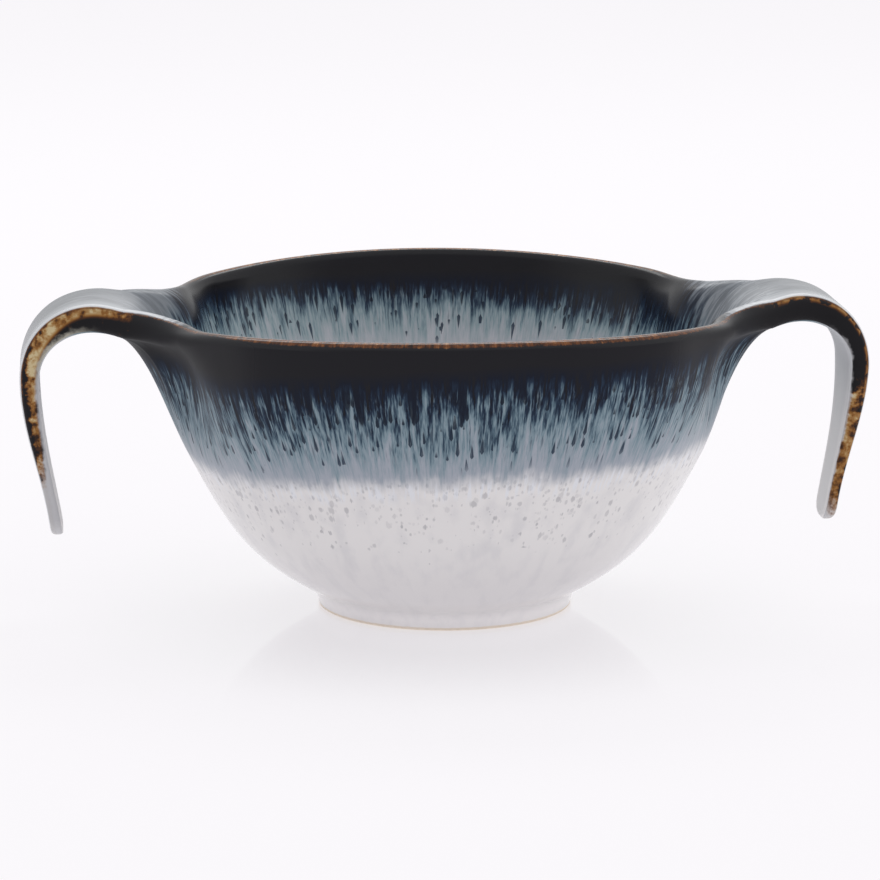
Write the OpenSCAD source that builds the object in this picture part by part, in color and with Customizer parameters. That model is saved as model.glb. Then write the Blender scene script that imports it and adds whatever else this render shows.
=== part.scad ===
// Lug soup bowl: a thrown stoneware bowl on a turned foot ring, with two strap lugs luted to its rim.
// The origin is the middle of the foot's standing face. The lugs lie along X, and the bowl opens upwards.
// The foot ring is turned. The bowl's wall and the lugs are swept surfaces, built from Bezier curves.

/* [Bowl] */
// Radius of the rim, to the middle of its thickness
rim_r = 70; // [62:0.5:72]
// Height of the rim, midway along its wave
rim_h = 73.5; // [70:0.5:80]
// How far the rim rises at front and back, and dips beside the lugs
rim_wave = 1.5; // [0:0.1:3]
// Thickness of the wall at the rim
rim_t = 4.3; // [3:0.1:6]
// Lean of the wall at the rim, in degrees away from upright
rim_lean = 7; // [1:1:14]
// Height of the shoulder, where the outside starts to swell towards the rim and the lugs
shoulder_h = 38; // [32:1:44]
// Radius of the outside at the shoulder
shoulder_r = 61.2; // [57:0.1:64]
// Thickness of the wall at the shoulder
shoulder_t = 4.9; // [3.5:0.1:7]
// Thickness of the floor
floor_t = 5.4; // [4:0.1:9]

/* [Foot ring] */
// Height of the foot ring
foot_h = 5.2; // [3:0.1:8]
// Radius of the standing face, at its outer edge
foot_r = 30.2; // [26:0.1:32]
// Radius of the foot ring where it meets the bowl
foot_top_r = 33; // [32:0.1:38]
// Width of the standing face
foot_w = 3.4; // [2:0.1:6]
// Radius of the rounded edges of the standing face
foot_edge_r = 0.6; // [0.3:0.1:1]

/* [Lugs] */
// Distance from the bowl's axis to the luted joint
joint_x = 76; // [74:0.5:79]
// Radius, seen from above, of the sweep from the rim into the lug
sweep_r = 30; // [24:1:36]
// Half the width of the strap over the arch
strap_w = 12.5; // [10:0.1:15]
// Half the width of the strap at its outermost point
reach_w = 11; // [8:0.1:12.5]
// Half the width of the strap above its rounded tip
tip_w = 6.4; // [4.5:0.1:7.5]
// Height of the top of the strap at the joint
joint_h = 74.4; // [73:0.1:76]
// Thickness of the strap's edges at the joint
joint_t = 7; // [5.5:0.1:8]
// Extra depth under the middle of the strap at the joint
joint_belly = 1.5; // [0.5:0.1:2.5]
// Distance from the axis to the crown of the arch
crown_x = 82.5; // [81:0.5:86]
// Height of the crown
crown_h = 75.3; // [74.5:0.1:78]
// Thickness of the strap at the crown
crown_t = 6.8; // [5:0.1:8]
// Distance from the axis to the lug's outermost point
reach_x = 100.3; // [97:0.1:106]
// Height of the outermost point
reach_h = 57; // [52:0.5:62]
// Thickness of the strap at the outermost point
reach_t = 4.6; // [3.6:0.1:6]
// Distance from the axis to the outer face of the tip
tip_x = 93.7; // [90:0.1:97]
// Height of the tip above the table
tip_h = 18.4; // [12:0.1:28]
// Thickness that the strap draws in to above its tip
arm_t = 2; // [1.4:0.1:3]
// Thickness of the strap at its tip
tip_t = 3.2; // [2.6:0.1:4.5]
// Length of the tip's rounding
tip_round = 4.5; // [3:0.1:6]

/* [Hidden] */

// Counts of steps along and around the swept surfaces
joint_steps = 4;
rim_steps = 18;
low_steps = 8;
high_steps = 9;
corner_steps = 3;
root_steps = 4;
arch_steps = 13;
arm_steps = 12;
tongue_steps = 6;
turn_faces = 96;

// Slopes of the turned profile, as rise over run, at the foot and at the shoulder
foot_slope = 0.55;
shoulder_slope = 1.95;
inside_slope = 1.7;
// Lengths of the curves' handles, as shares of the distance that each curve spans
low_handle_share = 0.42;
in_handle_share = 0.36;
high_handle_share = 0.37;
root_handle_share = 0.3;
foot_handle_share = 0.4;
floor_handle_share = 0.74;
arch_handle_share = 0.58;
arm_handle_share = 0.36;
// Rounding of the rim's edge and of the strap's edges, as shares of their thickness
rim_round_share = 0.48;
strap_round_share = 0.36;
// Most that the rounding may take of the strap's half width, in the tip
tongue_round_share = 0.8;
// Dish of the strap's upper face at the joint, as a share of its thickness
dish_share = 0.06;
// Rise of the strap's edges where they leave the bowl, below and above, in degrees
under_rise = 15;
upper_rise = 9;
// Power with which the belly and the dish fade out towards the crown
root_fade = 3;
// Power that shapes the thinning of the tongue towards its end
tongue_power = 6;
// Lean of the foot ring's side above the table, as run over rise
foot_lean = 0.12;
// Lean of the arm at its tip, in degrees away from upright
tip_lean = 4;
// Angles round the bowl over which the rim rolls over into the strap, and its edge turns level
roll_lead = 14;
turn_span = 7;

function unit(v) = v / norm(v);
function mix(a, b, t) = a + (b - a) * t;
function ease(t) = t <= 0 ? 0 : t >= 1 ? 1 : t * t * (3 - 2 * t);
function bez(p, t) =
    pow(1 - t, 3) * p[0] + 3 * pow(1 - t, 2) * t * p[1] + 3 * (1 - t) * t * t * p[2] + pow(t, 3) * p[3];
// A Bezier curve from p to q that leaves along u and arrives along v, with a share for each handle
function span(p, u, q, v, share, last) =
    [p, p + unit(u) * norm(q - p) * share, q - unit(v) * norm(q - p) * last, q];

// Seen from above, the rim's circle runs into the strap's straight edge through one concave arc
sweep_cy = strap_w + sweep_r;
sweep_cx = sqrt(pow(rim_r + sweep_r, 2) - pow(sweep_cy, 2));
leave_angle = atan2(sweep_cy, sweep_cx);
function sweep_w(x) =
    x >= sweep_cx ? strap_w : sweep_cy - sqrt(pow(sweep_r, 2) - pow(sweep_cx - x, 2));
// Distance from the axis, at angle a from the lug's middle, to the arc
function sweep_d(a) =
    let (m = sweep_cx * cos(a) + sweep_cy * sin(a))
    m - sqrt(pow(m, 2) - pow(sweep_cx, 2) - pow(sweep_cy, 2) + pow(sweep_r, 2));

joint_w = sweep_w(joint_x);
joint_angle = atan2(joint_w, joint_x);
joint_round = strap_round_share * joint_t;
joint_mid_h = joint_h - joint_t / 2;
// How far the rim has rolled over into the strap at angle a: 0 on the round rim, 1 at the joint
function roll(a) = ease((leave_angle + roll_lead - a) / (leave_angle + roll_lead - joint_angle));
function edge_h(a) = mix(rim_h - rim_wave * cos(2 * a), joint_mid_h, roll(a));
function edge_point(a) =
    let (d = a >= leave_angle ? rim_r : sweep_d(a))
    [d * cos(a), d * sin(a), edge_h(a)];

// The wall's section just at its edge: the edge point, the way outwards in the wall, the way through
// the wall towards its inside, its thickness and its rounding
function edge_frame(a) =
    let (e = edge_point(a),
         along = unit(edge_point(a - 0.5) - edge_point(a + 0.5)),
         lean = mix(rim_lean, 90 - (under_rise + upper_rise) / 2, roll(a)),
         flow = [sin(lean) * cos(a), sin(lean) * sin(a), cos(lean)],
         through = unit(cross(along, flow)),
         level = ease(1 - (a - joint_angle) / turn_span),
         n = unit(mix(through, [0, 0, 1], level)),
         c = unit(mix(cross(through, along), [0, 1, 0], level)),
         t = mix(rim_t, joint_t, roll(a)),
         share = mix(rim_round_share, strap_round_share, roll(a)))
    [e, c, n, t, share * t];
function edge_corner(f, side, turn) =
    f[0] - f[1] * f[4] + f[2] * side * (f[3] / 2 - f[4]) + f[4] * (f[1] * cos(turn) + f[2] * side * sin(turn));
function edge_round(a) =
    let (f = edge_frame(a))
    concat([for (i = [0:corner_steps]) edge_corner(f, -1, 90 - 90 * i / corner_steps)],
           [for (i = [0:corner_steps]) edge_corner(f, 1, 90 * i / corner_steps)]);

// The joint's flat face, at y: its lower and upper edges
function joint_low(s) = joint_mid_h - joint_t / 2 - joint_belly * (1 - s * s);
function joint_high(s) = joint_mid_h + joint_t / 2 - dish_share * joint_t * (1 - s * s);
function joint_line(s) =
    [for (i = [0:2 * corner_steps + 1])
        [joint_x, s * (joint_w - joint_round), mix(joint_low(s), joint_high(s), i / (2 * corner_steps + 1))]];
// The belly and the dish die away by the crown, so the middle of the strap leaves the bowl more steeply
root_reach = crown_x - joint_x;
function low_rise(s) = atan(tan(under_rise) + root_fade * joint_belly * (1 - s * s) / root_reach);
function high_rise(s) = atan(tan(upper_rise) + root_fade * dish_share * joint_t * (1 - s * s) / root_reach);

// The turned profile below the shoulder, outside and inside, as radius and height
floor_h = foot_h + floor_t;
out_shoulder = [shoulder_r, shoulder_h];
in_shoulder = out_shoulder + unit([-shoulder_slope, 1]) * shoulder_t;
out_low = span([foot_top_r, foot_h], [1, foot_slope], out_shoulder, [1, shoulder_slope],
               low_handle_share, low_handle_share);
in_low = [[0, floor_h], [floor_handle_share * in_shoulder[0], floor_h],
          in_shoulder - unit([1, inside_slope]) * norm(in_shoulder - [0, floor_h]) * in_handle_share,
          in_shoulder];

// One line down the wall, from under the foot, over the edge and down to the middle of the floor
function polar(p, a) = [p[0] * cos(a), p[0] * sin(a), p[1]];
function rise(a, up) = [cos(a) * cos(up), sin(a) * cos(up), sin(up)];
function edge_share(j) = sin(90 * j / joint_steps);
corner_base = atan2(joint_w - joint_round, joint_x);
base_lead = corner_base / joint_steps * rim_steps / (90 - corner_base);
function wall_line(k) =
    let (joint = k < joint_steps,
         s = edge_share(min(k, joint_steps)),
         u = max(k - joint_steps, 0) / rim_steps,
         a = joint ? atan2(s * (joint_w - joint_round), joint_x) : mix(joint_angle, 90, pow(u, 1.5)),
         base = joint ? corner_base * k / joint_steps
             : mix(corner_base, 90, base_lead * u + (1 - base_lead) * u * u),
         edge = joint ? joint_line(s) : edge_round(a),
         rolled = joint ? 1 : roll(a),
         upright = 90 - rim_lean,
         last = mix(high_handle_share, root_handle_share, rolled),
         low = [for (i = [0:low_steps]) polar(bez(out_low, i / low_steps), base)],
         out_high = span(polar(out_shoulder, base), polar([1, shoulder_slope], base), edge[0],
                         rise(a, mix(upright, low_rise(s), rolled)), high_handle_share, last),
         in_high = span(polar(in_shoulder, base), polar([1, inside_slope], base), edge[len(edge) - 1],
                        rise(a, mix(upright, high_rise(s), rolled)), high_handle_share, last))
    concat(low,
           [for (i = [1:high_steps - 1]) bez(out_high, i / high_steps)],
           edge,
           [for (i = [1:high_steps]) bez(in_high, 1 - i / high_steps)],
           [for (i = [1:low_steps - 1]) polar(bez(in_low, 1 - i / low_steps), base)]);

quarter = joint_steps + rim_steps;
lines = [for (k = [0:quarter]) wall_line(k)];
line_count = len(lines[0]);
ring = concat(
    [for (k = [0:quarter]) [k, 1, 1]], [for (k = [quarter - 1:-1:0]) [k, -1, 1]],
    [for (k = [1:quarter]) [k, -1, -1]], [for (k = [quarter - 1:-1:1]) [k, 1, -1]]);

module bowl_body() {
    count = len(ring);
    points = concat(
        [for (r = ring, p = lines[r[0]]) [p[0] * r[1], p[1] * r[2], p[2]]],
        [[0, 0, foot_h], [0, 0, floor_h]]);
    under = count * line_count;
    over = under + 1;
    sides = [for (j = [0:count - 1], i = [0:line_count - 2])
        let (a = j * line_count + i, b = ((j + 1) % count) * line_count + i)
        each [[a, b + 1, b], [a, a + 1, b + 1]]];
    ends = [for (j = [0:count - 1])
        let (a = j * line_count, b = ((j + 1) % count) * line_count, last = line_count - 1)
        each [[under, a, b], [over, b + last, a + last]]];
    color("slategray") polyhedron(points, concat(sides, ends), convexity = 8);
}

module foot_ring() {
    inner_r = foot_r - foot_w;
    side = span([foot_r, foot_edge_r], [foot_lean, 1], [foot_top_r, foot_h], [1, foot_slope],
                foot_handle_share, foot_handle_share);
    color("gainsboro")
        rotate_extrude($fn = turn_faces)
            polygon(concat(
                [for (i = [0:corner_steps])
                    let (t = 90 * i / corner_steps)
                    [inner_r + foot_edge_r * (1 - cos(t)), foot_edge_r * (1 - sin(t))]],
                [for (i = [0:corner_steps - 1])
                    let (t = 90 * i / corner_steps)
                    [foot_r - foot_edge_r * (1 - sin(t)), foot_edge_r * (1 - cos(t))]],
                [for (i = [0:low_steps]) bez(side, i / low_steps)],
                [[inner_r, foot_h]]));
}

// The lug's side view: outer and inner lines, each of three curves, over the arch and down the arm
crown = [crown_x, crown_h];
outermost = [reach_x, reach_h];
arm_handle = (reach_h - tip_h) * arm_handle_share;
tip_pull = [sin(tip_lean), cos(tip_lean)] * arm_handle;
outer_lines = [
    span([joint_x, joint_h], [cos(upper_rise), sin(upper_rise)], crown, [1, 0],
         high_handle_share, high_handle_share),
    [crown, mix(crown, [reach_x, crown_h], arch_handle_share),
     mix(outermost, [reach_x, crown_h], arch_handle_share), outermost],
    [outermost, outermost - [0, arm_handle], [tip_x, tip_h] + tip_pull, [tip_x, tip_h]]];
under_crown = crown - [0, crown_t];
inmost = outermost - [reach_t, 0];
inner_tip = [tip_x - tip_t, tip_h];
inner_lines = [
    span([joint_x, joint_h - joint_t], [cos(under_rise), sin(under_rise)], under_crown, [1, 0],
         high_handle_share, high_handle_share),
    [under_crown, mix(under_crown, [inmost[0], under_crown[1]], arch_handle_share),
     mix(inmost, [inmost[0], under_crown[1]], arch_handle_share), inmost],
    [inmost, inmost - [0, arm_handle], [tip_x - arm_t, tip_h] + tip_pull, inner_tip]];

// Stations along the strap: which curve, how far along it, and how much of the tip's rounding
tongue_share = tip_round / (reach_h - tip_h);
stations = concat(
    [for (i = [0:root_steps - 1]) [0, i / root_steps, 0]],
    [for (i = [0:arch_steps - 1]) [1, i / arch_steps, 0]],
    [for (i = [0:arm_steps - 1]) [2, (1 - tongue_share) * i / arm_steps, 0]],
    [for (i = [0:tongue_steps - 1])
        let (u = sin(90 * i / tongue_steps))
        [2, mix(1 - tongue_share, 1, u), u]]);

function strap_section(q) =
    let (outer = bez(outer_lines[q[0]], q[1]),
         inner = bez(inner_lines[q[0]], q[1]),
         mid = (outer + inner) / 2,
         n = unit(outer - inner),
         t = norm(outer - inner) * sqrt(1 - pow(q[2], tongue_power)),
         full = q[0] == 0 ? sweep_w(outer[0])
             : q[0] == 1 ? sweep_w(outer[0]) - (strap_w - reach_w) * (1 - cos(90 * q[1]))
             : mix(reach_w, tip_w, sin(90 * min(q[1] / (1 - tongue_share), 1))),
         w = full * sqrt(1 - q[2] * q[2]),
         r = min(strap_round_share * t, tongue_round_share * w),
         fade = q[0] == 0 ? pow((crown_x - outer[0]) / root_reach, root_fade) : 0,
         belly = joint_belly * fade,
         dish = dish_share * joint_t * fade,
         place = function(y, h) [mid[0] + n[0] * h, y, mid[1] + n[1] * h],
         corner = function(side, up, turn)
             place(side * (w - r + r * cos(turn)), up * (t / 2 - r + r * sin(turn))))
    concat(
        [for (j = [-joint_steps:joint_steps])
            let (s = edge_share(j))
            place(s * (w - r), -t / 2 - belly * (1 - s * s))],
        [for (i = [1:corner_steps]) corner(1, -1, 90 - 90 * i / corner_steps)],
        [for (i = [0:corner_steps]) corner(1, 1, 90 * i / corner_steps)],
        [for (j = [joint_steps - 1:-1:-joint_steps])
            let (s = edge_share(j))
            place(s * (w - r), t / 2 - dish * (1 - s * s))],
        [for (i = [1:corner_steps]) corner(-1, 1, 90 - 90 * i / corner_steps)],
        [for (i = [0:corner_steps - 1]) corner(-1, -1, 90 * i / corner_steps)]);

module lug() {
    rings = [for (q = stations) strap_section(q)];
    count = len(rings[0]);
    last = (len(rings) - 1) * count;
    tip = [tip_x - tip_t / 2, 0, tip_h];
    sides = [for (k = [0:len(rings) - 2], i = [0:count - 1])
        let (a = k * count + i, b = k * count + (i + 1) % count)
        each [[a, b, b + count], [a, b + count, a + count]]];
    polyhedron(
        concat([for (r = rings, p = r) p], [tip]),
        concat([[for (i = [count - 1:-1:0]) i]], sides,
               [for (i = [0:count - 1]) [last + i, last + (i + 1) % count, len(rings) * count]]),
        convexity = 6);
}

module left_lug() {
    color("lightsteelblue") mirror([1, 0, 0]) lug();
}

module right_lug() {
    color("lightsteelblue") lug();
}

bowl_body();
foot_ring();
left_lug();
right_lug();
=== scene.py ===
"""Looks of the lug soup bowl: a thrown wall, a foot ring and two strap lugs under a reactive glaze."""
import math

import bpy
import numpy as np
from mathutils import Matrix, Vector


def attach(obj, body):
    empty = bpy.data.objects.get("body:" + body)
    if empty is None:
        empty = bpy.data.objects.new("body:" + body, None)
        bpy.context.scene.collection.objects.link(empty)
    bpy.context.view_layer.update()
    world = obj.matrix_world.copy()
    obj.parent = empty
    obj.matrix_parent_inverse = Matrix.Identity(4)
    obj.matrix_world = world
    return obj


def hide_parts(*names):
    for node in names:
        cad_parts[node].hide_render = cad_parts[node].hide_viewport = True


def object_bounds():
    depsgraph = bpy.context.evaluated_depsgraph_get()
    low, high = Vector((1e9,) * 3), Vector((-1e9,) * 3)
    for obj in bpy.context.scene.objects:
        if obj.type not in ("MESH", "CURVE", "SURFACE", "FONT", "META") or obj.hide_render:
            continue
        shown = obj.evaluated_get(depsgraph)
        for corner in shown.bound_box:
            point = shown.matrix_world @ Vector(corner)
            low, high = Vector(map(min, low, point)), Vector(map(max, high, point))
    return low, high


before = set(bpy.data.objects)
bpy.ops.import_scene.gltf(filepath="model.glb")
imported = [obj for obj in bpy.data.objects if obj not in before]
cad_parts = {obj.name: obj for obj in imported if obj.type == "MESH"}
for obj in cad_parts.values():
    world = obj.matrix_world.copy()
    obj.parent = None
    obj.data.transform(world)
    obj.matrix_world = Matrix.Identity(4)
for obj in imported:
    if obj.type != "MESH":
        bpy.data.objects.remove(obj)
cad_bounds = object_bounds()

MM = 0.001

# Sizes in millimetres and degrees, as in the part's source
RIM_R = 70.0
RIM_H = 73.5
RIM_WAVE = 1.5
RIM_T = 4.3
RIM_LEAN = 7.0
SHOULDER_H = 38.0
SHOULDER_R = 61.2
SHOULDER_T = 4.9
FLOOR_T = 5.4
FOOT_H = 5.2
FOOT_R = 30.2
FOOT_TOP_R = 33.0
FOOT_W = 3.4
FOOT_EDGE_R = 0.6
JOINT_X = 76.0
SWEEP_R = 30.0
STRAP_W = 12.5
REACH_W = 11.0
TIP_W = 6.4
JOINT_H = 74.4
JOINT_T = 7.0
JOINT_BELLY = 1.5
CROWN_X = 82.5
CROWN_H = 75.3
CROWN_T = 6.8
REACH_X = 100.3
REACH_H = 57.0
REACH_T = 4.6
TIP_X = 93.7
TIP_H = 18.4
ARM_T = 2.0
TIP_T = 3.2
TIP_ROUND = 4.5

# Slopes, handles, roundings and leans of the curves, as in the part's source
FOOT_SLOPE = 0.55
SHOULDER_SLOPE = 1.95
INSIDE_SLOPE = 1.7
LOW_SHARE = 0.42
IN_SHARE = 0.36
HIGH_SHARE = 0.37
ROOT_SHARE = 0.3
FOOT_SHARE = 0.4
FLOOR_SHARE = 0.74
ARCH_SHARE = 0.58
ARM_SHARE = 0.36
RIM_ROUND = 0.48
STRAP_ROUND = 0.36
TONGUE_ROUND = 0.8
DISH = 0.06
UNDER_RISE = 15.0
UPPER_RISE = 9.0
ROOT_FADE = 3
TONGUE_POWER = 6
FOOT_LEAN = 0.12
TIP_LEAN = 4.0
ROLL_LEAD = 14.0
TURN_SPAN = 7.0

# Counts of steps along and around the surfaces
JOINT_STEPS = 16
RIM_STEPS = 72
LOW_STEPS = 34
HIGH_STEPS = 44
CORNER_STEPS = 7
ROOT_STEPS = 14
ARCH_STEPS = 48
ARM_STEPS = 46
TONGUE_STEPS = 18
FOOT_STEPS = 288
FLAT_STEPS = 4
SIDE_STEPS = 16
# Power with which the wall's lines crowd towards the joint
CROWD = 1.5
# Edges that turn more than this many degrees stay sharp
SHARP_TURN = 24
# Distance within which points are merged, and length under which an edge is dissolved, in metres
MERGE = 1e-6
LEAST_EDGE = 1e-7
# Degrees each way over which the direction of the lip's edge is taken
NUDGE = 0.5

# Radius round which the glaze's streaks are spread, and height from which its depth is measured
STREAK_R = 62.0
GLAZE_TOP = 75.5
# Height below which the wall counts as further from the joint, and by what share of the drop
ROOT_LOW = 66.0
ROOT_DROP = 0.7
# Least half thickness by which the strap's side face is measured
LEAST_HALF = 0.3
# Distances from the edges that the foot and the hidden ends of the straps are given
FOOT_FAR = 60.0
FOOT_BAND = 20.0
END_FAR = 9.0
# Stretch of the streaks round the foot
FOOT_SPREAD = 2
# Shortens the joint's edge line, so that the last point of the edge counts as inside
HAIR = 1e-6


def arr(*v):
    return np.array(v, float)


def unit(v):
    v = np.asarray(v, float)
    return v / np.linalg.norm(v)


def mix(a, b, t):
    return a + (b - a) * t


def ease(t):
    t = min(max(t, 0.0), 1.0)
    return t * t * (3 - 2 * t)


def cosd(a):
    return math.cos(math.radians(a))


def sind(a):
    return math.sin(math.radians(a))


def bez(p, t):
    """The point at t of a Bezier curve, given by its two ends and two handles."""
    return (1 - t) ** 3 * p[0] + 3 * (1 - t) ** 2 * t * p[1] + 3 * (1 - t) * t * t * p[2] + t ** 3 * p[3]


def span(p, u, q, v, share, last):
    """A Bezier curve from p to q that leaves along u and arrives along v, with a share for each handle."""
    p, q = np.asarray(p, float), np.asarray(q, float)
    reach = np.linalg.norm(q - p)
    return [p, p + unit(u) * reach * share, q - unit(v) * reach * last, q]


def lengths(pts):
    """Distance of each point from the first, along the line through them."""
    return np.concatenate([[0], np.cumsum(np.linalg.norm(np.diff(pts, axis=0), axis=1))])


# Seen from above, the rim's circle runs into the strap through one concave arc
SWEEP_CY = STRAP_W + SWEEP_R
SWEEP_CX = math.sqrt((RIM_R + SWEEP_R) ** 2 - SWEEP_CY ** 2)
LEAVE = math.degrees(math.atan2(SWEEP_CY, SWEEP_CX))


def sweep_w(x):
    """Half width of the root or strap at a distance from the axis."""
    return STRAP_W if x >= SWEEP_CX else SWEEP_CY - math.sqrt(SWEEP_R ** 2 - (SWEEP_CX - x) ** 2)


def sweep_d(a):
    """Distance from the axis to the concave arc, in the direction of an angle."""
    m = SWEEP_CX * cosd(a) + SWEEP_CY * sind(a)
    return m - math.sqrt(m * m - SWEEP_CX ** 2 - SWEEP_CY ** 2 + SWEEP_R ** 2)


JOINT_W = sweep_w(JOINT_X)
JOINT_ANGLE = math.degrees(math.atan2(JOINT_W, JOINT_X))
JOINT_ROUND = STRAP_ROUND * JOINT_T
JOINT_MID = JOINT_H - JOINT_T / 2
ROOT_REACH = CROWN_X - JOINT_X
FLOOR_H = FOOT_H + FLOOR_T
TURNS = [90 * i / CORNER_STEPS for i in range(CORNER_STEPS + 1)]


def roll(a):
    """How far the lip has rolled over towards the strap: 0 on the round rim, 1 at the joint."""
    return ease((LEAVE + ROLL_LEAD - a) / (LEAVE + ROLL_LEAD - JOINT_ANGLE))


def edge_point(a):
    """Middle of the lip's edge, at an angle."""
    d = RIM_R if a >= LEAVE else sweep_d(a)
    return arr(d * cosd(a), d * sind(a), mix(RIM_H - RIM_WAVE * cosd(2 * a), JOINT_MID, roll(a)))


def edge_round(a):
    """The lip's rounded edge at an angle, from its outer corner to its inner one."""
    e = edge_point(a)
    along = unit(edge_point(a - NUDGE) - edge_point(a + NUDGE))
    lean = mix(RIM_LEAN, 90 - (UNDER_RISE + UPPER_RISE) / 2, roll(a))
    flow = arr(sind(lean) * cosd(a), sind(lean) * sind(a), cosd(lean))
    through = unit(np.cross(along, flow))
    level = ease(1 - (a - JOINT_ANGLE) / TURN_SPAN)
    n = unit(mix(through, arr(0, 0, 1), level))
    c = unit(mix(np.cross(through, along), arr(0, 1, 0), level))
    t = mix(RIM_T, JOINT_T, roll(a))
    r = mix(RIM_ROUND, STRAP_ROUND, roll(a)) * t

    def corner(side, turn):
        return e - c * r + n * side * (t / 2 - r) + r * (c * cosd(turn) + n * side * sind(turn))

    return [corner(-1, 90 - k) for k in TURNS] + [corner(1, k) for k in TURNS]


def joint_line(s):
    """An upright line over the joint's face, at a share of its half width."""
    low = JOINT_MID - JOINT_T / 2 - JOINT_BELLY * (1 - s * s)
    high = JOINT_MID + JOINT_T / 2 - DISH * JOINT_T * (1 - s * s)
    n = 2 * CORNER_STEPS + 1
    return [arr(JOINT_X, s * (JOINT_W - JOINT_ROUND), mix(low, high, i / n)) for i in range(n + 1)]


def low_rise(s):
    """Rise of the root's underside where it meets the joint, in degrees."""
    return math.degrees(math.atan(sind(UNDER_RISE) / cosd(UNDER_RISE)
                                  + ROOT_FADE * JOINT_BELLY * (1 - s * s) / ROOT_REACH))


def high_rise(s):
    """Rise of the root's upper face where it meets the joint, in degrees."""
    return math.degrees(math.atan(sind(UPPER_RISE) / cosd(UPPER_RISE)
                                  + ROOT_FADE * DISH * JOINT_T * (1 - s * s) / ROOT_REACH))


# The turned profile below the shoulder, outside and inside, as radius and height
OUT_SHOULDER = arr(SHOULDER_R, SHOULDER_H)
IN_SHOULDER = OUT_SHOULDER + unit([-SHOULDER_SLOPE, 1]) * SHOULDER_T
OUT_LOW = span([FOOT_TOP_R, FOOT_H], [1, FOOT_SLOPE], OUT_SHOULDER, [1, SHOULDER_SLOPE], LOW_SHARE, LOW_SHARE)
IN_LOW = [arr(0, FLOOR_H), arr(FLOOR_SHARE * IN_SHOULDER[0], FLOOR_H),
          IN_SHOULDER - unit([1, INSIDE_SLOPE]) * np.linalg.norm(IN_SHOULDER - arr(0, FLOOR_H)) * IN_SHARE,
          IN_SHOULDER]
# Angle of the turned part below the joint's corner, and how fast its lines set off from there
CORNER_BASE = math.degrees(math.atan2(JOINT_W - JOINT_ROUND, JOINT_X))
BASE_LEAD = CORNER_BASE / JOINT_STEPS * RIM_STEPS / (90 - CORNER_BASE)


def polar(p, a):
    """A point of the turned profile, turned to an angle."""
    return arr(p[0] * cosd(a), p[0] * sind(a), p[1])


def rise(a, up):
    """A direction outwards at an angle, rising by so many degrees."""
    return arr(cosd(a) * cosd(up), sind(a) * cosd(up), sind(up))


def wall_line(k):
    """One line of the wall, from under the foot over the edge to the middle of the floor.

    Its glaze values follow: each point's distance from the middle of the edge, in halves of the joint's
    thickness, its distance past the edge, counted down from zero, the angle at which the line starts, and
    each point's distance from the edge's top corner. The first and the last are positive outside.
    """
    joint = k < JOINT_STEPS
    s = sind(90 * min(k, JOINT_STEPS) / JOINT_STEPS)
    u = max(k - JOINT_STEPS, 0) / RIM_STEPS
    if joint:
        a = math.degrees(math.atan2(s * (JOINT_W - JOINT_ROUND), JOINT_X))
        base = CORNER_BASE * k / JOINT_STEPS
        edge = joint_line(s)
        rolled = 1.0
    else:
        a = mix(JOINT_ANGLE, 90, u ** CROWD)
        base = mix(CORNER_BASE, 90, BASE_LEAD * u + (1 - BASE_LEAD) * u * u)
        edge = edge_round(a)
        rolled = roll(a)
    last = mix(HIGH_SHARE, ROOT_SHARE, rolled)
    low = [polar(bez(OUT_LOW, i / LOW_STEPS), base) for i in range(LOW_STEPS + 1)]
    out_high = span(polar(OUT_SHOULDER, base), polar([1, SHOULDER_SLOPE], base), edge[0],
                    rise(a, mix(90 - RIM_LEAN, low_rise(s), rolled)), HIGH_SHARE, last)
    in_high = span(polar(IN_SHOULDER, base), polar([1, INSIDE_SLOPE], base), edge[-1],
                   rise(a, mix(90 - RIM_LEAN, high_rise(s), rolled)), HIGH_SHARE, last)
    outside = low + [bez(out_high, i / HIGH_STEPS) for i in range(1, HIGH_STEPS)]
    inside = [bez(in_high, 1 - i / HIGH_STEPS) for i in range(1, HIGH_STEPS + 1)] \
        + [polar(bez(IN_LOW, 1 - i / LOW_STEPS), base) for i in range(1, LOW_STEPS)]
    pts = np.array([arr(0, 0, FOOT_H)] + outside + edge + inside + [arr(0, 0, FLOOR_H)])

    steps = lengths(pts)
    first, final = 1 + len(outside), len(outside) + len(edge)
    if joint:
        start, end, line = steps[first], steps[final], steps[final] - HAIR
        inset = (1 - s) * JOINT_W + JOINT_ROUND * math.pi / 4
        offset = inset + JOINT_T / 2 - JOINT_ROUND * (1 - math.pi / 4)
    else:
        start = end = (steps[first + CORNER_STEPS] + steps[first + CORNER_STEPS + 1]) / 2
        corner = final - (CORNER_STEPS + 1) // 2
        line = mix(start, (steps[corner] + steps[corner + 1]) / 2, rolled)
        offset = inset = 0.0
    gap = np.maximum(np.maximum(start - steps, steps - end), 0.0)
    band = np.where(steps <= start, gap + offset, -gap - offset) / (JOINT_T / 2)
    trim = line - steps + np.where(steps <= line, inset, -inset)
    return pts, band, -gap, base, trim


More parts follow.
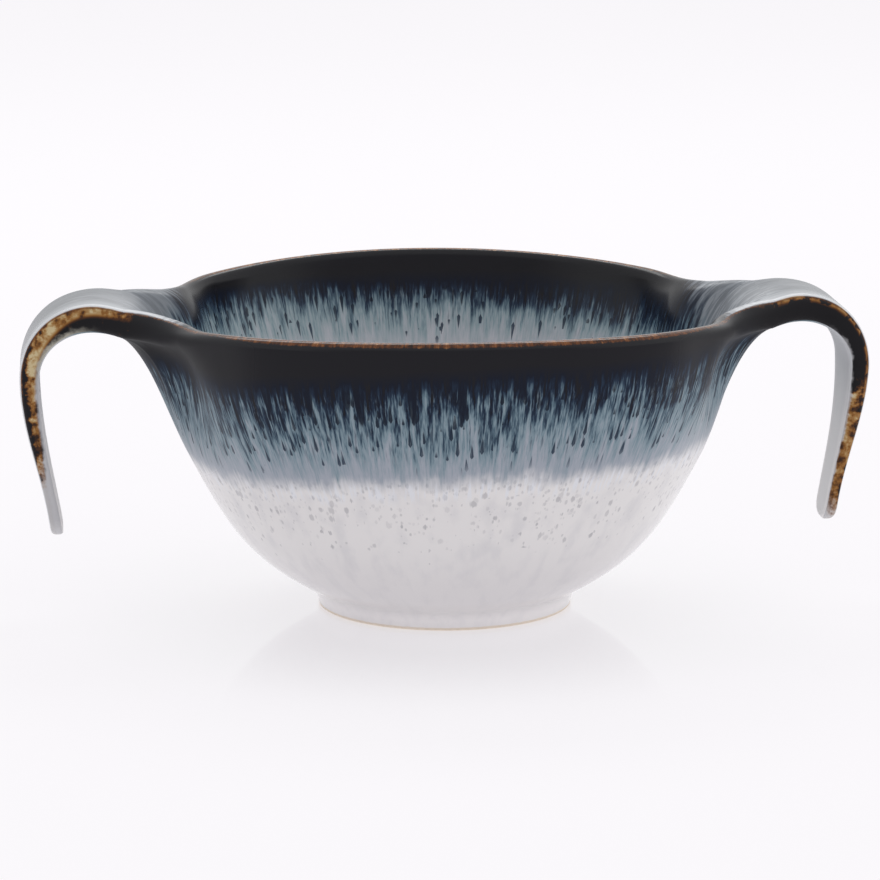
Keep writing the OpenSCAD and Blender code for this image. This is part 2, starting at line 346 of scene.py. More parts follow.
def new_piece(name, grid, flow, values):
    """A closed skin from a primitive grid, its points placed by formula and its seam and poles merged."""
    rows, cols = grid.shape[:2]
    bpy.ops.object.select_all(action="DESELECT")
    bpy.ops.mesh.primitive_grid_add(x_subdivisions=cols - 1, y_subdivisions=rows - 1)
    ob = bpy.context.object
    ob.name = ob.data.name = name
    me = ob.data
    me.vertices.foreach_set("co", np.clip(grid.reshape(-1, 3) * MM, *cad_bounds).ravel())
    me.attributes.new("flow", "FLOAT_VECTOR", "POINT").data.foreach_set("vector", flow.ravel())
    for key, value in values.items():
        me.attributes.new(key, "FLOAT", "POINT").data.foreach_set("value", value.ravel())
    bpy.ops.object.mode_set(mode="EDIT")
    bpy.ops.mesh.select_all(action="SELECT")
    bpy.ops.mesh.remove_doubles(threshold=MERGE)
    bpy.ops.mesh.dissolve_degenerate(threshold=LEAST_EDGE)
    bpy.ops.mesh.normals_make_consistent(inside=False)
    bpy.ops.object.mode_set(mode="OBJECT")
    bpy.ops.object.shade_smooth_by_angle(angle=math.radians(SHARP_TURN))
    return ob


def build_bowl():
    quarter = JOINT_STEPS + RIM_STEPS
    lines = [wall_line(k) for k in range(quarter + 1)]
    up, down = range(quarter + 1), range(quarter - 1, -1, -1)
    order = [(k, 1, 1) for k in up] + [(k, -1, 1) for k in down] \
        + [(k, -1, -1) for k in up[1:]] + [(k, 1, -1) for k in down]
    grid, flow, band, trim = [], [], [], []
    for k, sx, sy in order:
        pts, from_side, run, base, from_corner = lines[k]
        grid.append(pts * arr(sx, sy, 1))
        lateral = arr(sx * STREAK_R * cosd(base), sy * STREAK_R * sind(base))
        flow.append(np.column_stack([np.tile(lateral, (len(run), 1)), run]))
        band.append(from_side)
        trim.append(from_corner)
    grid = np.array(grid)
    to_joint, drop = JOINT_X - np.abs(grid[..., 0]), np.maximum(ROOT_LOW - grid[..., 2], 0)
    return new_piece("bowl", grid, np.array(flow), {
        "depth": GLAZE_TOP - grid[..., 2], "along": -np.hypot(to_joint, drop * ROOT_DROP),
        "band": np.array(band), "trim": np.array(trim)})


def strap_curves():
    """Side view of the strap: its outer and inner curve, each as root, arch and arm."""
    crown, outermost = arr(CROWN_X, CROWN_H), arr(REACH_X, REACH_H)
    handle = (REACH_H - TIP_H) * ARM_SHARE
    pull = arr(sind(TIP_LEAN), cosd(TIP_LEAN)) * handle
    tip = arr(TIP_X, TIP_H)
    corner = arr(REACH_X, CROWN_H)
    outer = [span([JOINT_X, JOINT_H], [cosd(UPPER_RISE), sind(UPPER_RISE)], crown, [1, 0],
                  HIGH_SHARE, HIGH_SHARE),
             [crown, mix(crown, corner, ARCH_SHARE), mix(outermost, corner, ARCH_SHARE), outermost],
             [outermost, outermost - arr(0, handle), tip + pull, tip]]
    under, inmost = crown - arr(0, CROWN_T), outermost - arr(REACH_T, 0)
    bend = arr(inmost[0], under[1])
    inner = [span([JOINT_X, JOINT_H - JOINT_T], [cosd(UNDER_RISE), sind(UNDER_RISE)], under, [1, 0],
                  HIGH_SHARE, HIGH_SHARE),
             [under, mix(under, bend, ARCH_SHARE), mix(inmost, bend, ARCH_SHARE), inmost],
             [inmost, inmost - arr(0, handle), arr(TIP_X - ARM_T, TIP_H) + pull, arr(TIP_X - TIP_T, TIP_H)]]
    return outer, inner


TONGUE_SHARE = TIP_ROUND / (REACH_H - TIP_H)


def strap_section(curves, piece, t, u):
    """A ring of points round the strap, and its middle.

    Its glaze values follow: each point's distance from the middle of the side face, in halves of the strap's
    thickness, and its distance from the face's top corner. Both are negative on the upper face and positive
    on the underside. The piece is 0 in the root, 1 in the arch and 2 in the arm, t is the place along it, and
    u grows from 0 to 1 over the rounded tip.
    """
    outer, inner = bez(curves[0][piece], t), bez(curves[1][piece], t)
    mid, n = (outer + inner) / 2, unit(outer - inner)
    thick = np.linalg.norm(outer - inner) * math.sqrt(max(1 - u ** TONGUE_POWER, 0))
    if piece == 0:
        full = sweep_w(outer[0])
    elif piece == 1:
        full = sweep_w(outer[0]) - (STRAP_W - REACH_W) * (1 - cosd(90 * t))
    else:
        full = mix(REACH_W, TIP_W, sind(90 * min(t / (1 - TONGUE_SHARE), 1)))
    w = full * math.sqrt(max(1 - u * u, 0))
    r = min(STRAP_ROUND * thick, TONGUE_ROUND * w)
    fade = ((CROWN_X - outer[0]) / ROOT_REACH) ** ROOT_FADE if piece == 0 else 0.0
    belly, dish = JOINT_BELLY * fade, DISH * JOINT_T * fade

    def place(y, h):
        return arr(mid[0] + n[0] * h, y, mid[1] + n[1] * h)

    def corner(side, up, turn):
        return place(side * (w - r + r * cosd(turn)), up * (thick / 2 - r + r * sind(turn)))

    shares = [sind(90 * j / JOINT_STEPS) for j in range(-JOINT_STEPS, JOINT_STEPS + 1)]
    low = [place(s * (w - r), -thick / 2 - belly * (1 - s * s)) for s in shares]
    high = [place(s * (w - r), thick / 2 - dish * (1 - s * s)) for s in reversed(shares)]
    pts = low + [corner(1, -1, 90 - k) for k in TURNS[1:]] + [corner(1, 1, k) for k in TURNS] \
        + high[1:] + [corner(-1, 1, 90 - k) for k in TURNS[1:]] + [corner(-1, -1, k) for k in TURNS]
    pts = np.array(pts)

    steps = lengths(pts)
    right = (steps[len(low) + CORNER_STEPS - 1] + steps[len(low) + CORNER_STEPS]) / 2
    left = (steps[-CORNER_STEPS - 2] + steps[-CORNER_STEPS - 1]) / 2
    gap = np.minimum(np.abs(steps - right), np.minimum(np.abs(steps - left), steps[-1] - left + steps))
    signed = np.where((steps > right) & (steps < left), -gap, gap)
    corner_at = max(thick / 2 - r + r * math.pi / 4, LEAST_HALF)
    return pts, mid, signed / max(thick / 2, LEAST_HALF), signed + corner_at


def build_lug(name, sx):
    curves = strap_curves()
    stations = [(0, i / ROOT_STEPS, 0) for i in range(ROOT_STEPS)] \
        + [(1, i / ARCH_STEPS, 0) for i in range(ARCH_STEPS)] \
        + [(2, (1 - TONGUE_SHARE) * i / ARM_STEPS, 0) for i in range(ARM_STEPS)]
    for i in range(TONGUE_STEPS):
        u = sind(90 * i / TONGUE_STEPS)
        stations.append((2, mix(1 - TONGUE_SHARE, 1, u), u))
    rings, mids, band, trim = zip(*[strap_section(curves, *station) for station in stations])
    run = lengths(np.array(mids))

    # The ends are closed: the joint's face in its middle, and the tip in its outermost point
    ends = np.ones(len(rings[0]))
    root = np.outer(ends, arr(JOINT_X, 0, JOINT_MID))
    tip = np.outer(ends, arr(TIP_X - TIP_T / 2, 0, TIP_H))
    grid = np.array([root, *rings, tip])
    band = np.array([ends * 0, *band, ends * 0])
    trim = np.array([ends * END_FAR, *trim, ends * END_FAR])
    run = np.outer([0, *run, run[-1]], ends)
    spread = STREAK_R * sind(CORNER_BASE) / (JOINT_W - JOINT_ROUND)
    flow = np.stack([np.full(run.shape, sx * STREAK_R), grid[..., 1] * spread, run], axis=-1)
    return new_piece(name, grid * arr(sx, 1, 1), flow, {
        "depth": GLAZE_TOP - grid[..., 2], "along": run, "band": band, "trim": trim})


def build_foot():
    inner = FOOT_R - FOOT_W
    side = span([FOOT_R, FOOT_EDGE_R], [FOOT_LEAN, 1], [FOOT_TOP_R, FOOT_H], [1, FOOT_SLOPE],
                FOOT_SHARE, FOOT_SHARE)
    start, end = inner + FOOT_EDGE_R, FOOT_R - FOOT_EDGE_R
    flat = [arr(mix(start, end, i / FLAT_STEPS), 0) for i in range(1, FLAT_STEPS)]
    outline = [arr(inner, FOOT_H), arr(inner, FOOT_H / 2)] \
        + [arr(start - FOOT_EDGE_R * cosd(t), FOOT_EDGE_R * (1 - sind(t))) for t in TURNS] + flat \
        + [arr(end + FOOT_EDGE_R * sind(t), FOOT_EDGE_R * (1 - cosd(t))) for t in TURNS[:-1]] \
        + [bez(side, i / SIDE_STEPS) for i in range(SIDE_STEPS + 1)] + [arr(inner, FOOT_H)]
    grid = np.array([[polar(p, 360 * k / FOOT_STEPS) for p in outline] for k in range(FOOT_STEPS + 1)])
    run = -FOOT_FAR - grid[..., 2]
    flow = np.stack([grid[..., 0] * FOOT_SPREAD, grid[..., 1] * FOOT_SPREAD, run], axis=-1)
    return new_piece("foot", grid, flow, {
        "depth": GLAZE_TOP - grid[..., 2], "along": run,
        "band": np.full(run.shape, FOOT_BAND), "trim": np.full(run.shape, FOOT_FAR)})


def srgb(*levels):
    """Linear colour of a display colour given in levels from 11 to 255."""
    return tuple(((level / 255 + 0.055) / 1.055) ** 2.4 for level in levels) + (1.0,)


class Net:
    """Short hand for wiring a node tree."""

    def __init__(self, tree):
        self.tree = tree

    def put(self, value, socket):
        if isinstance(value, bpy.types.NodeSocket):
            self.tree.links.new(value, socket)
        else:
            socket.default_value = value

    def node(self, kind, inputs=(), **props):
        n = self.tree.nodes.new(kind)
        for key, value in props.items():
            setattr(n, key, value)
        for key, value in (inputs.items() if isinstance(inputs, dict) else enumerate(inputs)):
            self.put(value, n.inputs[key])
        return n

    def math(self, op, *inputs):
        return self.node("ShaderNodeMath", inputs, operation=op).outputs[0]

    def chain(self, op, values):
        out = values[0]
        for value in values[1:]:
            out = self.math(op, out, value)
        return out

    def add(self, *values):
        return self.chain("ADD", values)

    def mul(self, *values):
        return self.chain("MULTIPLY", values)

    def sub(self, a, b):
        return self.math("SUBTRACT", a, b)

    def least(self, a, b):
        return self.math("MINIMUM", a, b)

    def most(self, a, b):
        return self.math("MAXIMUM", a, b)

    def flip(self, value):
        return self.sub(1.0, value)

    def swing(self, noise, size):
        """A noise that swings about zero, by half the size each way."""
        return self.mul(self.sub(noise, 0.5), size)

    def step(self, value, lo, hi):
        """0 at lo and 1 at hi, eased between them."""
        n = self.node("ShaderNodeMapRange", {"Value": value, "From Min": lo, "From Max": hi},
                      interpolation_type="SMOOTHSTEP")
        return n.outputs["Result"]

    def mix(self, fac, a, b, blend="MIX"):
        n = self.node("ShaderNodeMix", data_type="RGBA", blend_type=blend)
        for key, value in (("Factor_Float", fac), ("A_Color", a), ("B_Color", b)):
            self.put(value, next(s for s in n.inputs if s.identifier == key))
        return next(s for s in n.outputs if s.identifier == "Result_Color")

    def mix_value(self, fac, a, b):
        """A number that is a where the factor is 0, and b where it is 1."""
        return self.add(self.mul(fac, b - a), a)

    def mix_shader(self, fac, a, b):
        return self.node("ShaderNodeMixShader", [fac, a, b]).outputs[0]

    def glow(self, colour):
        return self.node("ShaderNodeEmission", {"Color": colour, "Strength": 1.0}).outputs[0]

    def ramp(self, fac, stops):
        n = self.node("ShaderNodeValToRGB", [fac])
        els = n.color_ramp.elements
        while len(els) < len(stops):
            els.new(0.5)
        for el, (pos, col) in zip(els, stops):
            el.position, el.color = pos, col
        return n.outputs[0]

    def vector(self, op, a, b):
        return self.node("ShaderNodeVectorMath", [a, b], operation=op).outputs[0]

    def parts(self, vec):
        return self.node("ShaderNodeSeparateXYZ", [vec]).outputs

    def channels(self, colour):
        return self.node("ShaderNodeSeparateColor", [colour]).outputs

    def noise(self, vec, detail, rough, scale=1.0):
        n = self.node("ShaderNodeTexNoise", {"Vector": vec, "Scale": scale, "Detail": detail,
                                             "Roughness": rough})
        return n.outputs["Fac"]

    def cells(self, vec):
        return self.node("ShaderNodeTexVoronoi", {"Vector": vec, "Scale": 1.0}).outputs

    def place(self):
        return self.node("ShaderNodeTexCoord").outputs["Object"]

    def attr(self, name, out="Fac"):
        return self.node("ShaderNodeAttribute", attribute_name=name).outputs[out]


# Colours of the running glaze, from the rim down
BLACK = srgb(29, 29, 33)
INK = srgb(18, 25, 40)
NAVY = srgb(34, 50, 70)
STEEL = srgb(84, 106, 120)
BLUE_GREY = srgb(128, 148, 158)
GREY = srgb(164, 170, 180)
THREAD_BLUE = srgb(138, 154, 162)
# Gain of the running colours inside the bowl, and painted light that brightens the glaze low on the foot
INSIDE_GAIN = (1.46, 1.38, 1.29, 1.0)
FOOT_PAINTED_LIGHT = (1.3, 1.3, 1.29, 1.0)
# The belly, its clouds, fringe and specks, the painted shade low on it, and the bowl's floor
WHITE = srgb(233, 231, 230)
CLOUD_WHITE = srgb(194, 194, 200)
LOW_PAINTED_SHADE = srgb(212, 209, 211)
FRINGE_WHITE = srgb(228, 233, 242)
MOTTLE_GREY = srgb(196, 200, 208)
SPECK = srgb(146, 145, 152)
# The strap's upper face and underside
STRAP_PALE = srgb(140, 144, 149)
STRAP_MID = srgb(116, 121, 126)
STRAP_DARK = srgb(106, 111, 116)
STRAP_END = srgb(120, 124, 129)
ROOT_PALE = srgb(200, 206, 212)
# Painted highlight on the upper face's front half and crest, and painted shade at its back edge
FRONT_PAINTED_LIGHT = srgb(206, 210, 214)
CREST_PAINTED_HIGHLIGHT = srgb(236, 238, 240)
BACK_PAINTED_SHADE = srgb(104, 110, 116)
UNDER_PALE = srgb(208, 210, 214)
# Painted shade in the middle of the underside
UNDER_PAINTED_SHADE = srgb(166, 170, 172)
# The strap's side faces, from burnt to pale
CHAR = srgb(24, 23, 26)
BROWN = srgb(80, 48, 24)
AMBER = srgb(146, 98, 44)
TAN = srgb(178, 142, 92)
CREAM = srgb(208, 190, 148)
BAND_PALE = srgb(196, 196, 198)
BAND_CREAM = srgb(188, 184, 170)
TAIL_PALE = srgb(192, 191, 192)
# The line where the glaze breaks on the rim
BREAK_DARK = srgb(42, 26, 18)
BREAK_BROWN = srgb(86, 48, 24)
BREAK_RUST = srgb(126, 74, 34)
BREAK_TAN = srgb(164, 112, 64)
# Bare clay under the foot
CLAY = srgb(222, 212, 200)
CLAY_GRIT = srgb(200, 188, 172)

# Grains of the glaze to a millimetre: across its run, in two directions, and along it
WANDER_GRAIN = (0.035, 0.035, 0.0)
BROAD_GRAIN = (0.33, 0.33, 0.05)
FINE_GRAIN = (0.95, 0.95, 0.11)
THREAD_GRAIN = (2.1, 2.1, 0.2)
DARK_GRAIN = (1.5, 1.5, 0.15)
CLOUD_GRAIN = (0.2, 0.2, 0.12)
TONGUE_GRAIN = (0.42, 0.42, 0.0)
DRIP_GRAIN = (0.95, 0.95, 0.13)
BIG_SPECK_GRAIN = (0.55, 0.55, 0.42)
SMALL_SPECK_GRAIN = (0.9, 0.9, 0.66)
BREAK_GRAIN = (0.9, 0.9, 0.0)
# Grains to a metre in the clay itself, for what doesn't run
SWELL_GRAIN = 38.0
MOTTLE_GRAIN = 75.0
BLOT_GRAIN = 330.0
FLECK_GRAIN = 800.0
GRIT_GRAIN = 900.0

# Depths of the glaze's layers in millimetres: each pair is where a change begins and where it is full
STREAKS_IN = (6.5, 13.0)
STREAKS_CALM = (21.0, 34.0)
TONGUES_IN = (8.0, 11.0)
DRIPS_IN = (10.0, 13.0)
DRIPS_OUT = (32.0, 27.0)
DRIPS_RARER = (8.0, 42.0)
DRIPS_NAVY = (14.0, 30.0)
THREADS_IN = (10.0, 14.0)
THREADS_OUT = (33.0, 26.0)
DARKS_IN = (11.0, 14.0)
DARKS_OUT = (31.0, 20.0)
GAIN_IN = (9.0, 22.0)
WHITE_IN = (30.6, 35.6)
FRINGE_IN = (32.5, 34.5)
FRINGE_OUT = (39.0, 36.0)
SPECKS_OUT = (56.0, 34.0)
# Depths over which painted shade darkens the lower belly
BELLY_PAINTED_SHADE = (46.0, 66.0)
FLOOR_PALES = (34.0, 56.0)
# Depth that the running colours cover, and the depth at which each is reached
RUN = 40.0
RUN_STOPS = ((0.0, BLACK), (6.0, BLACK), (9.5, INK), (14.0, NAVY), (18.0, STEEL), (23.0, BLUE_GREY),
             (32.0, GREY))
# How much lower the dip line is at the left, and how far it wanders
DIP_TILT = 5.0
DIP_WANDER = 5.0
# Depth at which the dark ends inside, and what is added to it at the left and at the right
INSIDE_DARK = 9.0
INSIDE_LEFT = -4.0
INSIDE_RIGHT = 5.0
# How much sooner the colours come there: a share of the depth past it, up to so much, and more at the lip
SOONER_SHARE = 0.75
SOONER_MOST = 5.5
LIP_SOONER = 0.6
LIP_SOONER_IN = (1.0, 7.0)
# Least length of a tongue, what the longest adds to it, and how tightly its sides draw in
TONGUE_LEAST = 9.0
TONGUE_MORE = 12.0
TONGUE_TIGHT = 2.2
# How narrow a drip is, and how blunt below and tapered above
DRIP_NARROW = 1.7
DRIP_BLUNT = 6.0
DRIP_TAPER = 1.25

# Lengths of strap that the colours of its upper face and of its underside cover
STRAP_LENGTH = 34.0
UNDER_LENGTH = 50.0
# Places along the strap in millimetres from the joint, in such pairs: less than zero is on the bowl
ON_STRAP = (-34.0, -6.0)
ROOT_STREAKS_OUT = (8.0, -6.0)
CREST_HIGHLIGHT_IN = (-18.0, 0.0)
SIDE_IN = (-10.0, 0.0)
VEIN_CENTRES = (6.0, 30.0)
VEIN_DROPS = (42.0, 56.0)
LEFT_VEIN_IN = (-8.0, 6.0)
LEFT_PALEST_IN = (11.0, 17.0)
LEFT_PALEST_OUT = (36.0, 28.0)
LEFT_BURNT_IN = (33.0, 39.0)
LEFT_BURNT_OUT = (53.0, 46.0)
RIGHT_VEIN_IN = (-12.0, 4.0)
RIGHT_VEIN_SPREADS = (30.0, 42.0)
BELOW_ARCH = (26.0, 34.0)
BAND_WIDENS = (42.0, 60.0)
BAND_CREAM_OUT = (36.0, 22.0)
LINE_OUT = (46.0, 26.0)

# Places across the bowl in metres, from left to right and from front to back, in such pairs
LEFT_HALF = (0.01, -0.01)
DIP_TILTS = (-0.012, -0.058)
SOONER_LEFT = (0.01, -0.045)
LATER_RIGHT = (0.015, 0.05)
FRONT_HALF = (0.003, -0.004)
BACK_HALF = (-0.003, 0.010)
BACK_RIM = (0.0, 0.03)
BACK_CORNER = (0.0, 0.006)
# Distances from the axis, in millimetres, between which the pale glaze from the lugs begins
ROOT_PALES = (58.0, 68.0)


class Glaze:
    """The glaze's layers, and what they share: the surface's own attributes, the grains and the level."""

    def __init__(self, tree):
        t = self.net = Net(tree)
        self.given = t.node("NodeGroupInput").outputs
        self.flow = t.attr("flow", "Vector")
        self.trim = t.attr("trim")
        self.band = t.attr("band")
        self.along = t.attr("along")
        self.pos = t.place()
        self.x, self.y, _ = t.parts(self.pos)
        self.left = t.step(self.x, *LEFT_HALF)
        self.outside = t.step(self.trim, -0.5, 0.5)
        self.inside = t.flip(self.outside)
        self.broad = self.grain(BROAD_GRAIN, 2.0, 0.5)
        self.fine = self.grain(FINE_GRAIN, 3.0, 0.6)
        self.thread = self.grain(THREAD_GRAIN, 3.0, 0.65)
        self.cloud = self.grain(CLOUD_GRAIN, 3.0, 0.5)
        self.level = self.find_level()

    def grain(self, stretch, detail, rough):
        return self.net.noise(self.net.vector("MULTIPLY", self.flow, stretch), detail, rough)

    def sided(self, right, left):
        """One value for the right lug and one for the left."""
        return self.net.mix_value(self.left, right, left)

    def find_level(self):
        """Depth below the rim: the dip line is lower at the left and wanders; inside, all comes sooner."""
        t = self.net
        tilt = t.mul(t.step(self.x, *DIP_TILTS), self.outside, DIP_TILT)
        wander = t.swing(self.grain(WANDER_GRAIN, 2.0, 0.5), DIP_WANDER)
        level = t.sub(t.add(t.attr("depth"), wander), tilt)
        dark_until = t.add(INSIDE_DARK, t.mul(t.step(self.x, *SOONER_LEFT), INSIDE_LEFT),
                           t.mul(t.step(self.x, *LATER_RIGHT), INSIDE_RIGHT))
        sooner = t.least(t.mul(t.most(t.sub(level, dark_until), 0.0), SOONER_SHARE), SOONER_MOST)
        sooner = t.add(sooner, t.mul(t.step(level, *LIP_SOONER_IN), LIP_SOONER))
        return t.add(level, t.mul(sooner, self.inside))

    def running_colour(self):
        """The dark rim, running down in streaks, tongues, drips and threads."""
        t, level, inside = self.net, self.level, self.inside

        # Inside, pale glaze runs down from the lugs
        reach = t.mul(t.math("ABSOLUTE", self.x), 1 / MM)
        pale_root = t.mul(t.step(t.add(reach, t.swing(self.fine, 10.0)), *ROOT_PALES), inside)
        streaks = t.add(t.swing(self.broad, 20.0), t.swing(self.fine, 36.0), t.swing(self.thread, 30.0))
        amount = t.mul(t.step(level, *STREAKS_IN), t.flip(t.mul(t.step(level, *STREAKS_CALM), 0.5)),
                       t.mix_value(inside, 1.0, 0.75))
        value = t.add(level, t.mul(streaks, amount), t.mul(pale_root, 14.0))
        colour = t.ramp(t.mul(value, 1 / RUN), [(depth / RUN, tone) for depth, tone in RUN_STOPS])

        # Ink tongues with round lower ends hang from the dark band
        cell = t.cells(t.vector("MULTIPLY", self.flow, TONGUE_GRAIN))
        chance = t.channels(cell["Color"])
        off_middle = t.mul(cell["Distance"], TONGUE_TIGHT)
        bulge = t.math("SQRT", t.most(t.flip(t.math("POWER", off_middle, 2.0)), 0.0))
        hang = t.add(t.mul(chance[0], chance[0], bulge, TONGUE_MORE), TONGUE_LEAST, t.swing(self.thread, 3.0))
        tongue = t.mul(t.step(t.sub(hang, level), -0.8, 0.9), t.step(bulge, 0.1, 0.4), t.flip(pale_root))
        colour = t.mix(t.mul(tongue, t.step(level, *TONGUES_IN), 0.9), colour, INK)

        # Thin dark drips, pointed above and blunt below
        spread = t.vector("MULTIPLY", self.flow, DRIP_GRAIN)
        cell = t.cells(spread)
        side_x, side_y, down = t.parts(t.vector("SUBTRACT", spread, cell["Position"]))
        across = t.math("SQRT", t.add(t.mul(side_x, side_x), t.mul(side_y, side_y)))
        fall = t.mul(down, t.mix_value(self.outside, 1.0, -1.0))
        length = t.add(t.mul(t.most(fall, 0.0), DRIP_BLUNT),
                       t.mul(t.most(t.mul(fall, -1.0), 0.0), DRIP_TAPER))
        some = t.math("GREATER_THAN", t.channels(cell["Color"])[0], t.step(level, *DRIPS_RARER))
        drip = t.mul(t.step(t.add(t.mul(across, DRIP_NARROW), length), 0.84, 0.6),
                     t.step(level, *DRIPS_OUT), t.step(level, *DRIPS_IN), some)
        colour = t.mix(t.mul(drip, 0.9), colour, t.mix(t.step(level, *DRIPS_NAVY), INK, NAVY))

        # Light threads and dark ones in the middle of the band
        light = t.mul(t.step(self.thread, 0.54, 0.72), t.step(level, *THREADS_IN),
                      t.step(level, *THREADS_OUT), t.flip(tongue))
        colour = t.mix(t.mul(light, t.mix_value(inside, 0.5, 0.3)), colour, THREAD_BLUE)
        dark = t.mul(t.step(self.grain(DARK_GRAIN, 2.0, 0.6), 0.44, 0.3), t.step(level, *DARKS_IN),
                     t.step(level, *DARKS_OUT))
        colour = t.mix(t.mul(dark, t.mix_value(inside, 0.75, 0.45)), colour, NAVY)
        paler = t.mix(1.0, colour, INSIDE_GAIN, "MULTIPLY")
        return t.mix(t.mul(inside, t.step(level, *GAIN_IN)), colour, paler)

    def specks(self, stretch, spread, least, share, shift):
        """Round specks of mixed sizes and depths of tone, which a share of the cells hold."""
        t = self.net
        cell = t.cells(t.vector("ADD", t.vector("MULTIPLY", self.flow, stretch), shift))
        chance = t.channels(cell["Color"])
        size = t.mul(chance[1], spread)
        some = t.math("LESS_THAN", chance[0], t.mul(t.step(self.level, *SPECKS_OUT), share))
        ragged = t.add(cell["Distance"], t.swing(self.thread, 0.7), t.swing(self.cloud, 0.6))
        tone = t.add(t.mul(chance[2], 0.7), 0.3)
        return t.mul(some, tone, t.step(ragged, t.add(size, least), t.add(t.mul(size, 0.5), least * 0.5)))

    def white_below(self, colour):
        """Below the running glaze: the off-white belly with painted shade low down, its specks fewer
        downwards, and the bowl's floor.
        """
        t, level = self.net, self.level
        speck = t.most(self.specks(BIG_SPECK_GRAIN, 0.26, 0.23, 0.85, (0, 0, 0)),
                       t.mul(self.specks(SMALL_SPECK_GRAIN, 0.2, 0.24, 0.7, (7, 3, 5)), 0.7))
        white = t.mix(t.mul(t.step(self.cloud, 0.45, 0.75), 0.3), WHITE, CLOUD_WHITE)
        # Painted shade: the belly is darker towards the bottom
        white = t.mix(t.mul(t.step(level, *BELLY_PAINTED_SHADE), 0.5), white, LOW_PAINTED_SHADE)
        white = t.mix(t.mul(speck, self.given["Specks"]), white, SPECK)
        ragged = t.add(level, t.swing(self.fine, 4.0), t.swing(self.cloud, 6.0))
        fringe = t.mul(t.step(ragged, *FRINGE_IN), t.step(ragged, *FRINGE_OUT), t.step(self.fine, 0.48, 0.6),
                       0.5)
        white = t.mix(fringe, white, FRINGE_WHITE)
        mottle = t.step(t.noise(self.pos, 3.0, 0.55, MOTTLE_GRAIN), 0.44, 0.68)
        well = t.mix(t.mul(mottle, 0.22), t.mix(t.step(level, *FLOOR_PALES), GREY, WHITE), MOTTLE_GREY)
        return t.mix(t.step(ragged, *WHITE_IN), colour, t.mix(self.outside, well, white))

    def strap(self, colour):
        """The strap: blue-grey above, off-white below, dark towards the bowl, with painted highlight and
        shade.
        """
        t, along, trim = self.net, self.along, self.trim
        top = t.ramp(t.add(t.mul(along, 1 / STRAP_LENGTH), t.swing(self.fine, 0.9), t.swing(self.cloud, 1.2)),
                     [(0.0, STRAP_PALE), (0.3, STRAP_MID), (0.65, STRAP_DARK), (1.0, STRAP_END)])
        # Pale streaks run over the root into the bowl
        over_root = t.mul(t.step(self.fine, 0.46, 0.6), t.step(along, *ROOT_STREAKS_OUT),
                          self.sided(0.75, 0.3))
        top = t.mix(over_root, top, ROOT_PALE)
        # Painted highlight: the front half is paler, most of all along its crest; painted shade makes the
        # back edge darker
        front = t.step(t.add(trim, t.swing(self.cloud, 4.0)), -9.5, -1.5)
        top = t.mix(t.mul(front, t.step(self.y, *FRONT_HALF), 0.5), top, FRONT_PAINTED_LIGHT)
        crest_highlight = t.step(t.add(trim, t.swing(self.cloud, 1.0)), -2.4, -0.9)
        top = t.mix(t.mul(crest_highlight, t.step(along, *CREST_HIGHLIGHT_IN), 0.85), top, CREST_PAINTED_HIGHLIGHT)
        back_shade = t.mul(t.step(self.y, *BACK_HALF), t.step(trim, -0.6, -1.6), 0.5)
        top = t.mix(back_shade, top, BACK_PAINTED_SHADE)
        under = t.ramp(t.add(t.mul(along, 1 / UNDER_LENGTH), t.swing(self.fine, 0.4)),
                       [(0.0, BLACK), (0.08, INK), (0.2, BLUE_GREY), (0.36, UNDER_PALE), (0.9, WHITE)])
        # Painted shade: the underside is greyer in its middle than at its edges
        middle = t.mul(t.step(t.add(self.band, t.swing(self.cloud, 1.0)), 1.1, 2.8), 0.28)
        under = t.mix(middle, under, UNDER_PAINTED_SHADE)
        # Above the bowl the strap's colours start further in
        start = t.add(along, t.swing(self.fine, 10.0), t.mul(self.inside, 12.0))
        starts = t.step(start, t.mix_value(self.inside, -6.0, -3.0), t.mix_value(self.inside, 4.0, 3.0))
        return t.mix(starts, colour, t.mix(self.outside, top, under))

    def side_faces(self, colour):
        """The strap's narrow side faces: a breaking amber and cream vein on black, paler towards the tip."""
        t, along, band, left = self.net, self.along, self.band, self.left
        blot = t.noise(self.pos, 3.0, 0.55, BLOT_GRAIN)
        fleck = t.noise(self.pos, 3.0, 0.6, FLECK_GRAIN)
        ragged = t.add(band, t.swing(blot, 0.9), t.swing(fleck, 0.5))

        # The left vein follows the face's middle; the right one keeps to its top corner, then fills the face
        middle = t.add(t.mix_value(t.step(along, *VEIN_CENTRES), -0.75, 0.15),
                       t.mul(t.step(along, *VEIN_DROPS), left, -0.6))
        off_middle = t.math("ABSOLUTE", t.sub(ragged, middle))
        left_vein = t.mul(t.step(off_middle, 0.9, 0.3), t.step(along, *LEFT_VEIN_IN))
        spreads = t.step(t.add(along, t.swing(blot, 24.0)), *RIGHT_VEIN_SPREADS)
        above = t.mul(t.step(ragged, -0.1, -0.7), t.step(blot, 0.38, 0.5), t.step(along, *RIGHT_VEIN_IN))
        right_vein = t.most(t.mul(spreads, t.step(ragged, -1.1, -0.5)), above)
        vein = t.add(t.mul(left, left_vein), t.mul(t.flip(left), right_vein))

